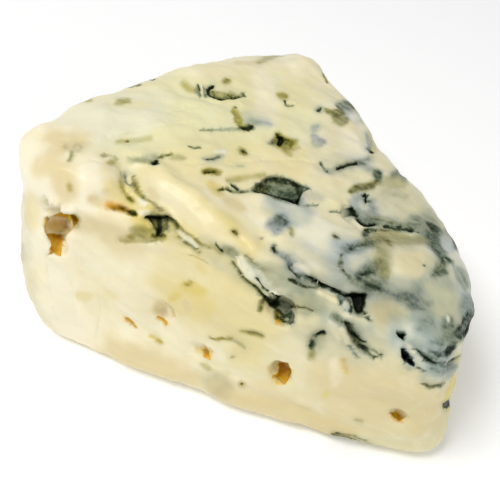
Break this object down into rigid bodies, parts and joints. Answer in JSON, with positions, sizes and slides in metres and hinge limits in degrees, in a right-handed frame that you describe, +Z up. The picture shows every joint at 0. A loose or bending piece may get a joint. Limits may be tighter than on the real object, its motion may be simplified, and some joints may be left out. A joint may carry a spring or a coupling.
{
  "type": "blue cheese wedge",
  "caption": "Wedge of blue-veined soft cheese with a blunt tip, a sloping crumbly top, open mould hollows on its cut sides and a curved rind side.",
  "frame": {"origin": "middle of the footprint's box, on the flat underside", "axes": "+Z up; the front cut side is parallel to X and faces -Y, the blunt tip is at -X and the curved rind side at +X"},
  "size_m": [0.09, 0.0798, 0.0473],
  "materials": {
    "paste": "moist cream-coloured cheese paste with blue-green mould veins, waxy soft gloss, slightly see-through at thin edges"
  },
  "bodies": {
    "root": {"cheese_wedge": "paste"}
  },
  "joints": []
}
